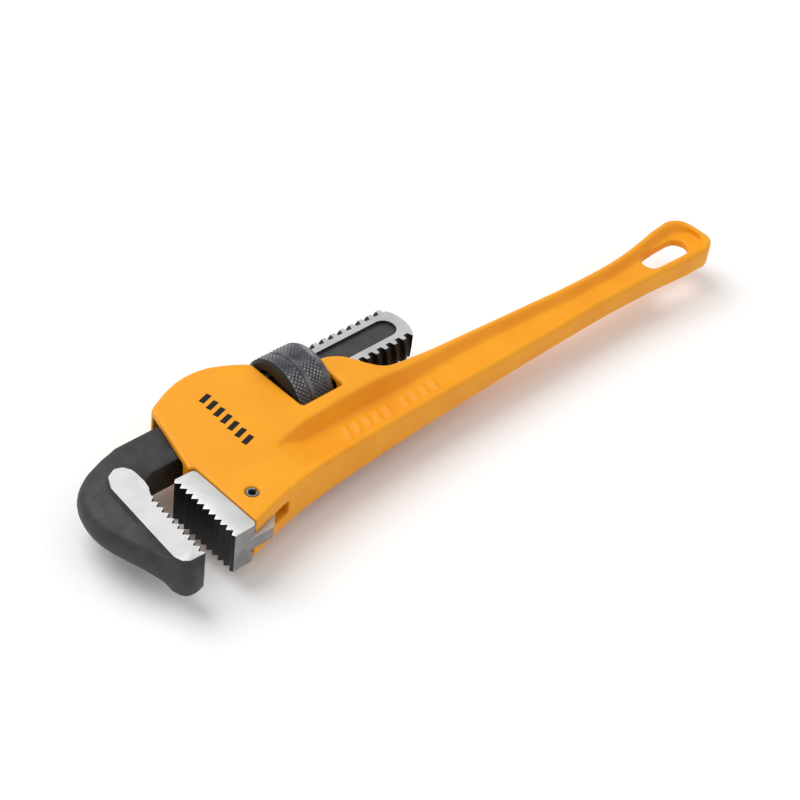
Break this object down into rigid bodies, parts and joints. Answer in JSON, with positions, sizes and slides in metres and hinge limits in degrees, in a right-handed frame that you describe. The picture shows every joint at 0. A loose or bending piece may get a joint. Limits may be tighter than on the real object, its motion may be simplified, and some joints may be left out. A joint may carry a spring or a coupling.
{
  "type": "pipe wrench",
  "caption": "Straight adjustable pipe wrench: toothed hook jaw on a threaded shank, knurled nut in a window, toothed heel jaw, and a recessed handle with a hang slot.",
  "frame": {"origin": "middle of the wrench's bounding box with the jaws at rest, 10 mm apart", "axes": "+X along the handle towards its hang slot, +Y from the heel jaw towards the hook jaw's shank, +Z through the thickness"},
  "size_m": [0.3136, 0.0772, 0.032],
  "materials": {
    "yellow_paint": "satin",
    "dark_forged_steel": "satin",
    "dark_nut_steel": "satin",
    "bright_steel": "ground",
    "spring_steel": "satin"
  },
  "bodies": {
    "frame": {"body_casting": "yellow_paint", "heel_jaw": "bright_steel", "heel_jaw_pin": "spring_steel", "coil_spring": "spring_steel"},
    "spring_leaf": {"flat_spring": "spring_steel", "spring_rivet": "spring_steel"},
    "hook": {"hook_jaw": "dark_forged_steel"},
    "nut": {"adjusting_nut": "dark_nut_steel"}
  },
  "joints": [
    {"name": "jaw_rock", "type": "hinge", "parent": "frame", "child": "spring_leaf", "pos_m": [-0.051, 0.01705, 0], "axis": [0, 0, 1], "range_deg": [0, 1.5], "stiffness_Nm_per_rad": 20, "springref_deg": -1.72, "deforming": ["coil_spring"]},
    {"name": "jaw_slide", "type": "slide", "parent": "spring_leaf", "child": "hook", "axis": [-1, 0, 0], "range_m": [-0.0088, 0.043]},
    {"name": "nut_spin", "type": "hinge", "parent": "spring_leaf", "child": "nut", "pos_m": [-0.051, 0.01705, 0], "axis": [1, 0, 0], "range_deg": [-680, 3210]}
  ],
  "couplings": [
    {"joint": "nut_spin", "follows": "jaw_slide", "rad_per_m": 1298.2}
  ]
}
